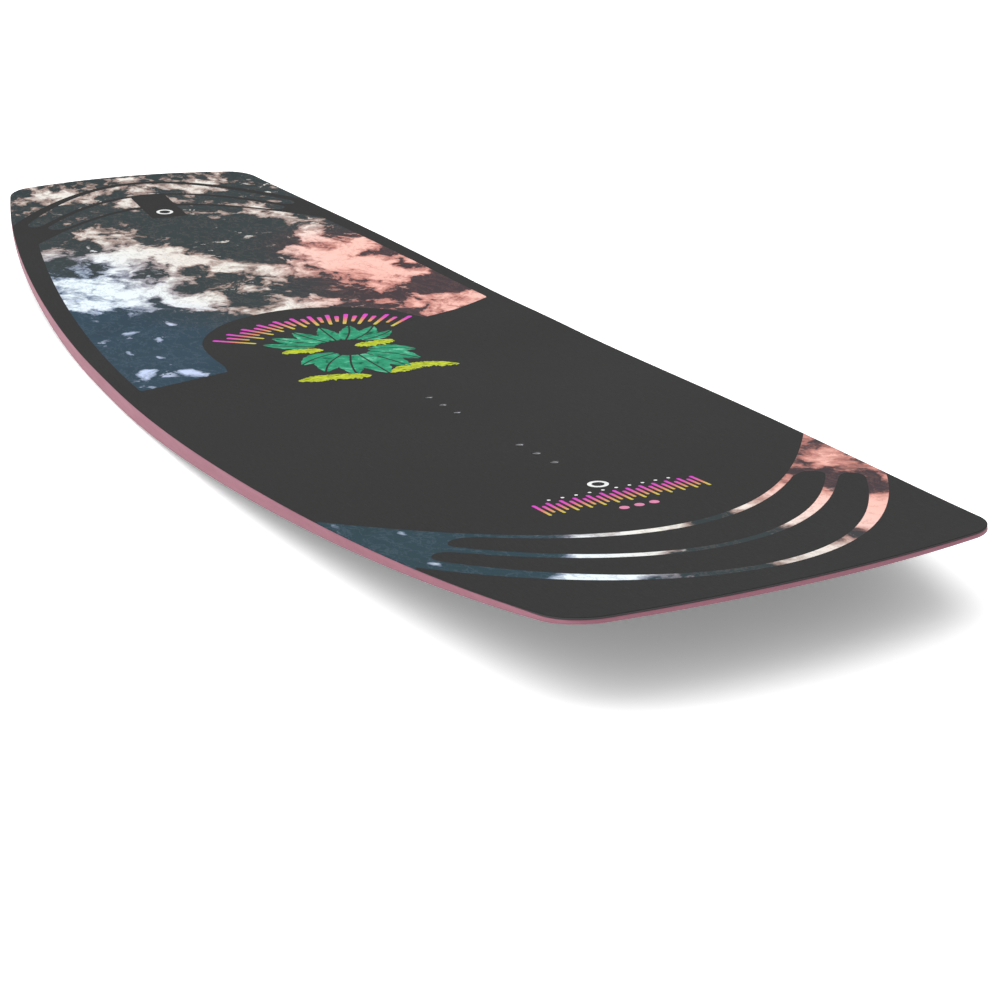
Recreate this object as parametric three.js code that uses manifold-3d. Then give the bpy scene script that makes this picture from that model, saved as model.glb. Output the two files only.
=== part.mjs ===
// Wakeboard, 135 cm, twin-tip, bare deck (no bindings, no fins).
// Units are millimetres, +Z is up. X runs along the board, Y across it.
// The origin is the middle of the board, on the flat middle of the base.
//
// Layers from the bottom up: base sheet, bottom glass laminate, wood core made of
// lengthwise laths, top glass laminate, printed topsheet. A cast urethane sidewall
// runs round the whole edge between base sheet and topsheet. Twelve blind M6 inserts
// sit in the centre lath for the two bindings.
import * as THREE from 'three';
import Module from 'manifold-3d';

// ---------- plan shape and thickness ----------
// In the terms below, u is the distance from the middle as a share of the half length,
// and v is the same measured from the end of the flat.
const LENGTH = 1350;                      // tip to tip
const HALF_LENGTH = LENGTH / 2;
const MID_HALF_WIDTH = 211.54;            // half width at the middle
const WIDTH_LOSS = [56.6, 14.94];         // half width lost towards the tips: u^2, u^4
const TIP_SAG = 16.94;                    // bow of the tip's end curve at TIP_SAG_Y
const TIP_SAG_Y = 150;
const TIP_CORNER_R = 34.6;                // corner radius between side and end curve
const FLAT_HALF = 45;                     // half length of the flat middle of the base
const ROCKER = [107.55, -117.33, 61.58];  // rise: v^2, v^3, v^4 (51.8 mm at the tip)
const EDGE_T = [12.66, -14.62, 4.78];     // sidewall height: 1, u^2, u^4
const CROWN = 0.83;                       // deck camber across the board

// ---------- layers ----------
const BASE_T = 1.1;
const LAMINATE_T = 0.5;                   // each glass laminate
const TOPSHEET_T = 0.55;
const LAYER_GAP = 0.15;                   // bond line left open between layers
const SIDEWALL_GAP = 0.2;                 // bond line between base sheet and sidewall
const CORE_INSET = 12.3;                  // edge of the core and laminates
const LATH_COUNT = 11;
const LATH_GAP = 0.2;
const CORE_SIDE_MARGIN = 0.1;             // outer laths reach past the plan before trimming
const LAYER_FOOT = BASE_T + SIDEWALL_GAP; // underside of sidewall and bottom laminate
const DECK_COVER = TOPSHEET_T + LAYER_GAP;  // deck down to the top of laminate and sidewall

// ---------- inserts ----------
const INCH = 25.4;
const BINDING_X = 286;          // middle of each binding from the middle of the board
const GROUP_HALF = (6 * INCH) / 2; // half the distance between a binding's two groups
const PITCH = INCH;             // inserts within a group
const DECK_HOLE_R = 3.1;        // hole through the topsheet over each insert
const HOLE_CLEARANCE = 0.3;
const CUT_OVERRUN = 3;          // how far a cutter runs past the deck or the insert's foot
const INSERT = {
  barrelR: 5.0,
  flangeR: 8.0,
  flangeT: 1.2,
  boreR: 2.5,                   // plain bore that stands for the M6 thread
  chamferR: 3.0,                // countersink at the bore's mouth
  chamferDepth: 0.5,
  rimDrop: 0.1,                 // rim below the top of the top laminate
  footLift: 0.3,                // foot above the underside of the core
  boreEdgeHeight: 1.9,          // bore's end above the foot, at its wall
  boreTipHeight: 1.4,           // the same, at the point of its cone
  segments: 16,
};

// ---------- subdivision ----------
const STATION_STEP = 36.5;      // spacing of stations along the board
const STATION_LIMIT = 636;      // side stations stop short of this
const GRID_STATION_LIMIT = 625; // grid stations stop short of this
const GRID_END_X = [STATION_LIMIT, 665, 700];
const CORNER_CLEARANCE = 8;     // least distance from a side station to the corner arc
const END_STEPS = 3;            // steps from the tip's middle to the corner arc
const ARC_STEPS = 6;
const Y_CROWNED = [-215, -110, 0, 110, 215]; // for sheets that follow the crown
const Y_FLAT = [-215, 215];                  // for sheets that are straight across
const COLUMN_LOW = -20;         // ends of the columns that trim the sheets
const COLUMN_HIGH = 150;

// ---------- form of the board ----------
const lengthShare = (x) => Math.min(Math.abs(x) / HALF_LENGTH, 1);
const halfWidth = (x) => {
  const u = lengthShare(x);
  return MID_HALF_WIDTH - WIDTH_LOSS[0] * u ** 2 - WIDTH_LOSS[1] * u ** 4;
};
const halfWidthSlope = (x) => {
  const u = x / HALF_LENGTH;
  return (-2 * WIDTH_LOSS[0] * u - 4 * WIDTH_LOSS[1] * u ** 3) / HALF_LENGTH;
};
const endX = (y) => HALF_LENGTH - TIP_SAG * (y / TIP_SAG_Y) ** 2;
const endSlope = (y) => -2 * TIP_SAG * y / TIP_SAG_Y ** 2;
const edgeThickness = (x) => {
  const u = lengthShare(x);
  return EDGE_T[0] + EDGE_T[1] * u ** 2 + EDGE_T[2] * u ** 4;
};
const crown = (x, y) => CROWN * Math.max(0, 1 - (y / halfWidth(x)) ** 2);

// Heights of the layer faces, from the base up.
const baseZ = (x) => {
  const v = Math.max(0, Math.abs(x) - FLAT_HALF) / (HALF_LENGTH - FLAT_HALF);
  return ROCKER[0] * v ** 2 + ROCKER[1] * v ** 3 + ROCKER[2] * v ** 4;
};
const footZ = (x) => baseZ(x) + LAYER_FOOT;
const coreLowZ = (x) => footZ(x) + LAMINATE_T + LAYER_GAP;
const deckZ = (x, y) => footZ(x) + edgeThickness(x) + DECK_COVER + crown(x, y);
const topsheetLowZ = (x, y) => deckZ(x, y) - TOPSHEET_T;
const laminateTopZ = (x, y) => deckZ(x, y) - DECK_COVER;
const coreHighZ = (x, y) => laminateTopZ(x, y) - LAMINATE_T - LAYER_GAP;

// Stations along the board, shared by every layer so the facets stay parallel.
const SIDE_STATIONS = [0];
for (let x = FLAT_HALF; x < STATION_LIMIT; x += STATION_STEP) SIDE_STATIONS.push(x);

// The same stations on both sides of the middle, carried on past the tips.
const HALF_GRID = [
  ...SIDE_STATIONS.slice(1).filter((x) => x < GRID_STATION_LIMIT),
  ...GRID_END_X,
];
const X_GRID = [...HALF_GRID.map((x) => -x).reverse(), 0, ...HALF_GRID];

// ---------- outline ----------
const unit = (x, y) => {
  const length = Math.hypot(x, y);
  return [x / length, y / length];
};
const sideNormal = (x) => unit(-halfWidthSlope(x), 1);
const endNormal = (y) => unit(1, -endSlope(y));

// Where the corner arc meets the side (at sideX) and the end curve (at endY),
// closed in on by turns.
function cornerJoints() {
  let sideX = HALF_LENGTH - TIP_CORNER_R;
  let endY = halfWidth(sideX) - TIP_CORNER_R;
  for (let i = 0; i < 200; i++) {
    const side = sideNormal(sideX);
    const end = endNormal(endY);
    sideX = endX(endY) + TIP_CORNER_R * (side[0] - end[0]);
    endY = halfWidth(sideX) + TIP_CORNER_R * (end[1] - side[1]);
  }
  return { sideX, endY };
}

// Quarter outline with outward normals, from the tip's middle to the board's middle.
function quarterOutline() {
  const { sideX, endY } = cornerJoints();
  const points = [];
  for (let i = 0; i < END_STEPS; i++) {
    const y = (endY * i) / END_STEPS;
    points.push({ point: [endX(y), y], normal: endNormal(y) });
  }

  const side = sideNormal(sideX);
  const end = endNormal(endY);
  const centreX = sideX - TIP_CORNER_R * side[0];
  const centreY = halfWidth(sideX) - TIP_CORNER_R * side[1];
  const startAngle = Math.atan2(end[1], end[0]);
  const endAngle = Math.atan2(side[1], side[0]);
  for (let i = 0; i <= ARC_STEPS; i++) {
    const angle = startAngle + ((endAngle - startAngle) * i) / ARC_STEPS;
    const normal = [Math.cos(angle), Math.sin(angle)];
    const point = [centreX + TIP_CORNER_R * normal[0], centreY + TIP_CORNER_R * normal[1]];
    points.push({ point, normal });
  }

  for (const x of [...SIDE_STATIONS].reverse()) {
    if (x < sideX - CORNER_CLEARANCE) {
      points.push({ point: [x, halfWidth(x)], normal: sideNormal(x) });
    }
  }
  return points;
}

// Whole outline, counter-clockwise seen from above.
function fullOutline() {
  const quarter = quarterOutline();
  const last = quarter.length - 1;
  const mirrored = (points, signX, signY) => points.map(({ point, normal }) => ({
    point: [signX * point[0], signY * point[1]],
    normal: [signX * normal[0], signY * normal[1]],
  }));
  return [
    ...quarter,
    ...mirrored(quarter.slice(0, last).reverse(), -1, 1),
    ...mirrored(quarter.slice(1), -1, -1),
    ...mirrored(quarter.slice(1, last).reverse(), 1, -1),
  ];
}
const OUTLINE = fullOutline();
const insetOutline = (inset) => OUTLINE.map(({ point, normal }) => [
  point[0] - inset * normal[0],
  point[1] - inset * normal[1],
]);

// ---------- mesh helpers ----------
const wasm = await Module();
wasm.setup();

function geometryFrom(vertices, triangles) {
  const geometry = new THREE.BufferGeometry();
  geometry.setAttribute('position', new THREE.Float32BufferAttribute(vertices.flat(), 3));
  geometry.setIndex(triangles.flat());
  return geometry;
}

// Closed indexed mesh to a solid, with equal corners welded by a grid key.
function toManifold(geometry) {
  const position = geometry.getAttribute('position');
  const index = geometry.getIndex();
  const known = new Map();
  const vertices = [];
  const welded = [];
  for (let i = 0; i < position.count; i++) {
    const corner = [position.getX(i), position.getY(i), position.getZ(i)];
    const key = corner.map((value) => Math.round(value * 1e4)).join(',');
    if (!known.has(key)) {
      known.set(key, vertices.length / 3);
      vertices.push(...corner);
    }
    welded.push(known.get(key));
  }
  const triangles = [];
  for (let i = 0; i < index.count; i += 3) {
    const [a, b, c] = [0, 1, 2].map((k) => welded[index.getX(i + k)]);
    if (a !== b && b !== c && a !== c) triangles.push(a, b, c);
  }
  return new wasm.Manifold(new wasm.Mesh({
    numProp: 3,
    vertProperties: new Float32Array(vertices),
    triVerts: new Uint32Array(triangles),
  }));
}

function fromManifold(solid) {
  const mesh = solid.getMesh();
  return geometryFrom(Array.from(mesh.vertProperties), Array.from(mesh.triVerts));
}

// Two triangles for a quad whose corners run counter-clockwise seen from outside.
const quad = (a, b, c, d) => [[a, b, c], [a, c, d]];

// A slab on a grid of stations, between two height functions.
function slab(xs, ys, low, high) {
  const lastX = xs.length - 1;
  const lastY = ys.length - 1;
  const vertices = [];
  for (const height of [low, high]) {
    for (const x of xs) {
      for (const y of ys) vertices.push([x, y, height(x, y)]);
    }
  }
  const bottom = (i, j) => i * ys.length + j;
  const top = (i, j) => xs.length * ys.length + bottom(i, j);
  // The wall under the grid edge from (i, j) to (k, l).
  const wall = (i, j, k, l) => quad(bottom(i, j), bottom(k, l), top(k, l), top(i, j));

  const triangles = [];
  for (let i = 0; i < lastX; i++) {
    for (let j = 0; j < lastY; j++) {
      triangles.push(
        ...quad(top(i, j), top(i + 1, j), top(i + 1, j + 1), top(i, j + 1)),
        ...quad(bottom(i, j), bottom(i, j + 1), bottom(i + 1, j + 1), bottom(i + 1, j)),
      );
    }
  }
  for (let i = 0; i < lastX; i++) {
    triangles.push(...wall(i, 0, i + 1, 0), ...wall(i + 1, lastY, i, lastY));
  }
  for (let j = 0; j < lastY; j++) {
    triangles.push(...wall(0, j + 1, 0, j), ...wall(lastX, j, lastX, j + 1));
  }
  return geometryFrom(vertices, triangles);
}

// Rings that follow the outline, one per level, joined by bands of quads. Each level
// gives the distance in from the outline and the height.
function ringBands(levels, bandCount) {
  const size = OUTLINE.length;
  const vertices = levels.flatMap(({ inset, z }) => (
    insetOutline(inset).map(([x, y]) => [x, y, z(x, y)])
  ));
  const triangles = [];
  for (let k = 0; k < bandCount; k++) {
    const lower = k * size;
    const upper = ((k + 1) % levels.length) * size;
    for (let i = 0; i < size; i++) {
      const j = (i + 1) % size;
      triangles.push(...quad(lower + i, lower + j, upper + j, upper + i));
    }
  }
  return { vertices, triangles };
}

// An upright column in the board's plan shape; its first and last level are flat
// and share one triangulation for their caps.
function column(levels) {
  const { vertices, triangles } = ringBands(levels, levels.length - 1);
  const top = (levels.length - 1) * OUTLINE.length;
  const plan = insetOutline(levels[0].inset).map(([x, y]) => new THREE.Vector2(x, y));
  for (const [a, b, c] of THREE.ShapeUtils.triangulateShape(plan, [])) {
    triangles.push([top + a, top + b, top + c], [c, b, a]);
  }
  return geometryFrom(vertices, triangles);
}

// One profile carried round the outline and closed on itself.
function sweep(profile) {
  const { vertices, triangles } = ringBands(profile, profile.length);
  return geometryFrom(vertices, triangles);
}

// Column levels for a bevelled edge that changes inset between two levels.
const bevelledEdge = (low, high) => [
  { inset: low.inset, z: () => COLUMN_LOW },
  low,
  high,
  { inset: high.inset, z: () => COLUMN_HIGH },
];
const CORE_PLAN = toManifold(column([
  { inset: CORE_INSET, z: () => COLUMN_LOW },
  { inset: CORE_INSET, z: () => COLUMN_HIGH },
]));

// A layer between two height functions, trimmed to a plan column.
const layer = (ys, low, high, plan) => toManifold(slab(X_GRID, ys, low, high)).intersect(plan);

// ---------- insert placing and drilling ----------
// Each end's inserts are numbered from the middle of the board outwards: a at +X, b at -X.
const INSERT_DISTANCES = [-1, 1].flatMap((side) => (
  [-1, 0, 1].map((k) => BINDING_X + side * GROUP_HALF + k * PITCH)
));
const INSERTS = [
  ...INSERT_DISTANCES.map((x, i) => ({ name: `insert_b${i + 1}`, x: -x })).reverse(),
  ...INSERT_DISTANCES.map((x, i) => ({ name: `insert_a${i + 1}`, x })),
];

// Depth of the insert's foot below the deck.
const insertDepth = (x) => deckZ(x, 0) - coreLowZ(x) - INSERT.footLift;

// Turned solid from (radius, height) points listed upward on the outside, set in the
// insert's own frame: z = 0 on the deck over its middle, axis square to the deck.
function turnedAt(x, profile) {
  const points = profile.map(([radius, z]) => new THREE.Vector2(radius, z));
  const slope = (deckZ(x + 1, 0) - deckZ(x - 1, 0)) / 2;
  const placing = new THREE.Matrix4().makeRotationY(-Math.atan(slope));
  placing.setPosition(x, 0, deckZ(x, 0));
  return new THREE.LatheGeometry(points, INSERT.segments)
    .rotateX(Math.PI / 2)
    .applyMatrix4(placing);
}

function drill(solid, x, radius, low, high) {
  const profile = [[0, low], [radius, low], [radius, high], [0, high]];
  return solid.subtract(toManifold(turnedAt(x, profile)));
}

const drillDeck = (solid, radius) => INSERTS.reduce(
  (drilled, { x }) => drill(drilled, x, radius, -CUT_OVERRUN, CUT_OVERRUN),
  solid,
);

// ---------- materials ----------
const MATERIALS = {
  base: { color: 0x2a2b2e, roughness: 0.45, metalness: 0 },
  glass: { color: 0xcfd3c4, roughness: 0.5, metalness: 0 },
  stringer: { color: 0xb98a55, roughness: 0.75, metalness: 0 },
  oddLath: { color: 0xdcc199, roughness: 0.75, metalness: 0 },
  evenLath: { color: 0xd2b387, roughness: 0.75, metalness: 0 },
  topsheet: { color: 0x3f3f40, roughness: 0.55, metalness: 0 },
  urethane: { color: 0xb4828f, roughness: 0.5, metalness: 0 },
  metal: { color: 0xb9bbbe, roughness: 0.35, metalness: 0.9 },
};

// ---------- pieces ----------
// The base sheet's edge leans in towards the water, tucked under the sidewall.
function baseSheet() {
  const edge = bevelledEdge(
    { inset: 4.5, z: (x) => baseZ(x) - 0.2 },
    { inset: 1.5, z: (x) => baseZ(x) + BASE_T - 0.1 },
  );
  const top = (x) => baseZ(x) + BASE_T;
  return fromManifold(layer(Y_FLAT, baseZ, top, toManifold(column(edge))));
}

function bottomLaminate() {
  return fromManifold(layer(Y_FLAT, footZ, (x) => footZ(x) + LAMINATE_T, CORE_PLAN));
}

// Stepped holes for the inserts, open downwards so that the flanges fit.
function drillStringer(lath) {
  let drilled = lath;
  for (const { x } of INSERTS) {
    const foot = -insertDepth(x);
    const low = foot - CUT_OVERRUN;
    const flangeTop = foot + INSERT.flangeT + HOLE_CLEARANCE;
    drilled = drill(drilled, x, INSERT.barrelR + HOLE_CLEARANCE, low, CUT_OVERRUN);
    drilled = drill(drilled, x, INSERT.flangeR + HOLE_CLEARANCE, low, flangeTop);
  }
  return drilled;
}

// Wood core: lengthwise laths numbered outwards from the centre one; left is -Y.
function addCore() {
  const coreHalf = MID_HALF_WIDTH - CORE_INSET + CORE_SIDE_MARGIN;
  const lathPitch = (2 * coreHalf) / LATH_COUNT;
  for (let i = 0; i < LATH_COUNT; i++) {
    const startY = -coreHalf + i * lathPitch + LATH_GAP / 2;
    const ys = [startY, startY + lathPitch - LATH_GAP];
    const lath = layer(ys, coreLowZ, coreHighZ, CORE_PLAN);
    const offset = i - (LATH_COUNT - 1) / 2;
    if (offset === 0) {
      add('core_stringer', fromManifold(drillStringer(lath)), MATERIALS.stringer);
    } else {
      const name = `core_lath_${offset < 0 ? 'left' : 'right'}_${Math.abs(offset)}`;
      add(name, fromManifold(lath), i % 2 ? MATERIALS.oddLath : MATERIALS.evenLath);
    }
  }
}

function topLaminate() {
  const low = (x, y) => laminateTopZ(x, y) - LAMINATE_T;
  const solid = layer(Y_CROWNED, low, laminateTopZ, CORE_PLAN);
  return fromManifold(drillDeck(solid, INSERT.barrelR + HOLE_CLEARANCE));
}

// The topsheet covers the sidewall and has a softened top edge.
function topsheet() {
  const edge = bevelledEdge(
    { inset: 0, z: (x, y) => deckZ(x, y) - 0.3 },
    { inset: 0.5, z: (x, y) => deckZ(x, y) + 0.12 },
  );
  const solid = layer(Y_CROWNED, topsheetLowZ, deckZ, toManifold(column(edge)));
  return fromManifold(drillDeck(solid, DECK_HOLE_R));
}

// Cast sidewall ring: it stands out near the foot, and both outer arrises are bevelled.
function sidewall() {
  const depth = 12;       // measured inward from the outline
  const flare = 0.4;      // how far the foot stands out past the outline
  const bevelWidth = 0.5;
  const bevelHeight = (x) => Math.min(0.7, edgeThickness(x) * 0.22);
  return sweep([
    { inset: bevelWidth - flare, z: footZ },
    { inset: -flare, z: (x) => footZ(x) + bevelHeight(x) },
    { inset: 0, z: (x, y) => laminateTopZ(x, y) - bevelHeight(x) },
    { inset: bevelWidth, z: laminateTopZ },
    { inset: depth, z: laminateTopZ },
    { inset: depth, z: footZ },
  ]);
}

// Flanged barrel with a blind, countersunk bore that ends in a cone.
function insert(x) {
  const foot = -insertDepth(x);
  const rim = -DECK_COVER - INSERT.rimDrop;
  return turnedAt(x, [
    [0, foot],
    [INSERT.flangeR, foot],
    [INSERT.flangeR, foot + INSERT.flangeT],
    [INSERT.barrelR, foot + INSERT.flangeT],
    [INSERT.barrelR, rim],
    [INSERT.chamferR, rim],
    [INSERT.boreR, rim - INSERT.chamferDepth],
    [INSERT.boreR, foot + INSERT.boreEdgeHeight],
    [0, foot + INSERT.boreTipHeight],
  ]);
}

// ---------- build ----------
const group = new THREE.Group();
group.name = 'wakeboard';

// Adds a piece with flat-shaded facets.
function add(name, geometry, material) {
  const faceted = geometry.toNonIndexed();
  faceted.deleteAttribute('uv');
  faceted.computeVertexNormals();
  const mesh = new THREE.Mesh(faceted, new THREE.MeshStandardMaterial(material));
  mesh.name = name;
  group.add(mesh);
}

add('base_sheet', baseSheet(), MATERIALS.base);
add('bottom_laminate', bottomLaminate(), MATERIALS.glass);
addCore();
add('top_laminate', topLaminate(), MATERIALS.glass);
add('topsheet', topsheet(), MATERIALS.topsheet);
add('sidewall', sidewall(), MATERIALS.urethane);
for (const { name, x } of INSERTS) add(name, insert(x), MATERIALS.metal);

export default group;
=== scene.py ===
"""Wakeboard: printed deck sheet, cast sidewall, base sheet, threaded inserts and the studio.

The board lies along X, centred on the origin, with its width along Y and the printed deck facing
+Z; both tips sweep up. "Near" is the +X end, next to the camera, and "far" is the -X end.
Shapes are worked out in millimetres and turned into metres in new_object(). Materials, lights
and the camera are in metres.
"""
import math

import bmesh
import bpy
import numpy as np
from mathutils import Matrix, Vector
from mathutils.geometry import delaunay_2d_cdt
from mathutils.kdtree import KDTree


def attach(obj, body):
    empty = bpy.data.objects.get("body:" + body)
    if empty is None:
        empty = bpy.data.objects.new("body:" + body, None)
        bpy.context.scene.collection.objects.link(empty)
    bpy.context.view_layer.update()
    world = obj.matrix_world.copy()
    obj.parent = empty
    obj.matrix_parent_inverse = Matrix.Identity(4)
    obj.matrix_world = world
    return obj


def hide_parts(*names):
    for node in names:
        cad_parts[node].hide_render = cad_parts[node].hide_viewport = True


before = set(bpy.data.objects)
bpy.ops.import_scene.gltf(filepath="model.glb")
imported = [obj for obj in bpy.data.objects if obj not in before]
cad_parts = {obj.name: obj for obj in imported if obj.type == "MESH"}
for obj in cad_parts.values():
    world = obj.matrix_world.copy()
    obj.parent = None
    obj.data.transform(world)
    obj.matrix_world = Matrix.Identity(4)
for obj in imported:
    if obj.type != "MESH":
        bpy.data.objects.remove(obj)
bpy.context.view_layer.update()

# ------------------------------------------------------------------ form of the board
HALF_LENGTH = 675.0
MID_HALF_WIDTH, WIDTH_LOSS_2, WIDTH_LOSS_4 = 211.54, 56.6, 14.94  # middle, x^2 and x^4 terms
END_SAG, END_SAG_Y = 16.94, 150.0  # the end falls back this far at this distance off centre
CORNER_R = 34.6
FLAT_HALF = 45.0  # half length of the level middle of the base
ROCKER_2, ROCKER_3, ROCKER_4 = 107.55, 117.33, 61.58
MID_EDGE_T, EDGE_LOSS_2, EDGE_GAIN_4 = 12.66, 14.62, 4.78
CROWN = 0.83  # rise of the deck's centre line over its edges
FOOT, SHEET_T, GAP = 1.3, 0.55, 0.15  # under the sidewall, deck sheet, bond line
STACK = FOOT + SHEET_T + GAP
END_STEPS, CORNER_STEPS, SIDE_STEP = 44, 28, 3.2


def half_width(x):
    u = np.minimum(np.abs(x) / HALF_LENGTH, 1.0)
    return MID_HALF_WIDTH - WIDTH_LOSS_2 * u ** 2 - WIDTH_LOSS_4 * u ** 4


def half_width_slope(x):
    u = x / HALF_LENGTH
    return (-2 * WIDTH_LOSS_2 * u - 4 * WIDTH_LOSS_4 * u ** 3) / HALF_LENGTH


def end_x(y):
    return HALF_LENGTH - END_SAG * (y / END_SAG_Y) ** 2


def end_slope(y):
    return -2 * END_SAG * y / END_SAG_Y ** 2


def base_z(x):
    v = np.maximum(0.0, np.abs(x) - FLAT_HALF) / (HALF_LENGTH - FLAT_HALF)
    return ROCKER_2 * v ** 2 - ROCKER_3 * v ** 3 + ROCKER_4 * v ** 4


def edge_thickness(x):
    u = np.minimum(np.abs(x) / HALF_LENGTH, 1.0)
    return MID_EDGE_T - EDGE_LOSS_2 * u ** 2 + EDGE_GAIN_4 * u ** 4


def deck_z(x, y):
    crown = CROWN * np.maximum(0.0, 1.0 - (y / half_width(x)) ** 2)
    return base_z(x) + STACK + edge_thickness(x) + crown


def make_outline():
    """Plan outline and its outward normals, anticlockwise from (HALF_LENGTH, 0)."""
    def unit(x, y):
        return np.array([x, y]) / math.hypot(x, y)

    def side_normal(x):
        return unit(-half_width_slope(x), 1.0)

    def end_normal(y):
        return unit(1.0, -end_slope(y))

    # Slide the corner arc until it is tangent to both the side and the end.
    side_x, end_y = HALF_LENGTH - CORNER_R, half_width(HALF_LENGTH - CORNER_R) - CORNER_R
    for _ in range(200):
        side_n, end_n = side_normal(side_x), end_normal(end_y)
        side_x = end_x(end_y) - CORNER_R * end_n[0] + CORNER_R * side_n[0]
        end_y = half_width(side_x) - CORNER_R * side_n[1] + CORNER_R * end_n[1]
    side_n, end_n = side_normal(side_x), end_normal(end_y)
    centre = np.array([side_x, half_width(side_x)]) - CORNER_R * side_n

    points, normals = [], []
    for i in range(END_STEPS):
        y = end_y * i / END_STEPS
        points.append((end_x(y), y))
        normals.append(end_normal(y))
    start, stop = math.atan2(end_n[1], end_n[0]), math.atan2(side_n[1], side_n[0])
    for i in range(CORNER_STEPS + 1):
        angle = start + (stop - start) * i / CORNER_STEPS
        normal = np.array([math.cos(angle), math.sin(angle)])
        points.append(tuple(centre + CORNER_R * normal))
        normals.append(normal)
    side_steps = int(round(side_x / SIDE_STEP))
    for i in range(side_steps - 1, -1, -1):
        x = side_x * i / side_steps
        points.append((x, half_width(x)))
        normals.append(side_normal(x))

    def mirror_round(quarter):
        last = len(quarter) - 1
        return np.vstack([quarter, quarter[:last][::-1] * [-1, 1], quarter[1:] * [-1, -1],
                          quarter[1:last][::-1] * [1, -1]])

    return mirror_round(np.array(points)), mirror_round(np.array(normals))


OUTLINE, OUTLINE_NORMALS = make_outline()


def inset(distance):
    return OUTLINE - distance * OUTLINE_NORMALS


# ------------------------------------------------------------------ plan-view helpers
def in_poly(points, poly):
    """Even-odd test of points (n,2) against polygon poly (m,2)."""
    x, y = points[:, 0], points[:, 1]
    inside = np.zeros(len(points), bool)
    x0, y0 = poly[-1]
    for x1, y1 in poly:
        if y0 != y1:
            spans = (y0 > y) != (y1 > y)
            inside ^= spans & (x < (x1 - x0) * (y - y0) / (y1 - y0) + x0)
        x0, y0 = x1, y1
    return inside


def in_any(points, polys):
    """Inside at least one polygon; only points in each bounding box are tested."""
    hit = np.zeros(len(points), bool)
    for poly in polys:
        near = ((points >= poly.min(0)) & (points <= poly.max(0))).all(axis=1)
        if near.any():
            index = np.flatnonzero(near)
            hit[index] |= in_poly(points[index], poly)
    return hit


def resample(points, step, closed=False):
    """Evenly spaced points along a polyline."""
    p = np.asarray(points, float)
    if closed:
        p = np.vstack([p, p[:1]])
    along = np.r_[0, np.cumsum(np.hypot(*np.diff(p, axis=0).T))]
    count = max(2, int(math.ceil(along[-1] / step)) + 1)
    t = np.linspace(0, along[-1], count)
    out = np.c_[np.interp(t, along, p[:, 0]), np.interp(t, along, p[:, 1])]
    return out[:-1] if closed else out


def smooth(points, per_span):
    """Open Catmull-Rom curve through the points."""
    p = np.asarray(points, float)
    count = len(p)
    out = []
    for i in range(count - 1):
        b, c = p[i], p[i + 1]
        a = p[i - 1] if i else 2 * b - c
        d = p[i + 2] if i + 2 < count else 2 * c - b
        for k in range(per_span):
            t = k / per_span
            out.append(0.5 * ((2 * b) + (c - a) * t + (2 * a - 5 * b + 4 * c - d) * t * t
                              + (3 * b - 3 * c + d - a) * t ** 3))
    out.append(p[-1])
    return np.array(out)


def disc(centre, radius, count):
    t = np.arange(count) * 2 * math.pi / count
    return np.c_[centre[0] + radius * np.cos(t), centre[1] + radius * np.sin(t)]


def capsule(start, end, start_width, end_width, cap_steps=7):
    """Tapering bar with round ends."""
    start, end = np.array(start, float), np.array(end, float)
    along = end - start
    heading = math.atan2(along[1], along[0])
    out = []
    for centre, width, turn in ((start, start_width, math.pi / 2), (end, end_width, -math.pi / 2)):
        for i in range(cap_steps + 1):
            angle = heading + turn + math.pi * i / cap_steps
            out.append(centre + width / 2 * np.array([math.cos(angle), math.sin(angle)]))
    return np.array(out)


# ------------------------------------------------------------------ cloud areas of the deck print
FLIP = np.array([-1.0, 1.0])  # near end to far end
REACH_Y = 205.0  # cross curves run this far to each side, near the board's edges
BEYOND_X = 760.0  # past the tip


def bowed(x_mid, bow, flatten=0.0):
    """Curve across the board, bowed towards +X: x as a function of y."""
    return lambda y: x_mid - bow * y ** 2 + flatten * y ** 4


cloud_in, cloud_out = bowed(548, 0.0042, 1.5e-8), bowed(648, 0.0041)
lobe1_in, lobe1_out = bowed(555, 0.0042, 1.5e-8), bowed(594, 0.00455)
lobe2_in, lobe2_out = bowed(600, 0.0042), bowed(641, 0.00475)


def across(x_of_y, y0, y1, step=3.0):
    y = np.linspace(y0, y1, max(2, int(abs(y1 - y0) / step) + 1))
    return np.c_[x_of_y(y), y]


def lobe(x_in, x_out, y_in, y_out, cap):
    """Bowed bar between two cross curves; cap lists the (x, y) points round its +Y end."""
    cap = np.array([(x_in(y_in), y_in)] + cap + [(x_out(y_out), y_out)], float)
    top = smooth(cap, per_span=6)
    bottom = (top * [1, -1])[::-1]
    return np.vstack([across(x_in, -y_in, y_in)[:-1], top[:-1],
                      across(x_out, y_out, -y_out)[:-1], bottom[:-1]])


LOBE1 = lobe(lobe1_in, lobe1_out, 116, 129, [(497.0, 127.5), (500.5, 135.0), (508.0, 136.5)])
LOBE2 = lobe(lobe2_in, lobe2_out, 133, 147,
             [(516.5, 142.5), (514.5, 150.0), (520.0, 155.0), (528.5, 153.5)])
PLAIN_RECT = np.array([(-594.0, -20.5), (-504.0, -20.5), (-504.0, 20.5), (-594.0, 20.5)])


def band_y(x):
    """Inner boundary of the dark side band on the far half."""
    return half_width(x) - (15.5 + 0.011 * np.abs(x) + 1.1e-5 * x ** 2)


def band_side(x0, x1, sign, step=6.0):
    x = np.linspace(x0, x1, max(2, int(abs(x1 - x0) / step) + 1))
    return np.c_[x, sign * band_y(x)]


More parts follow.
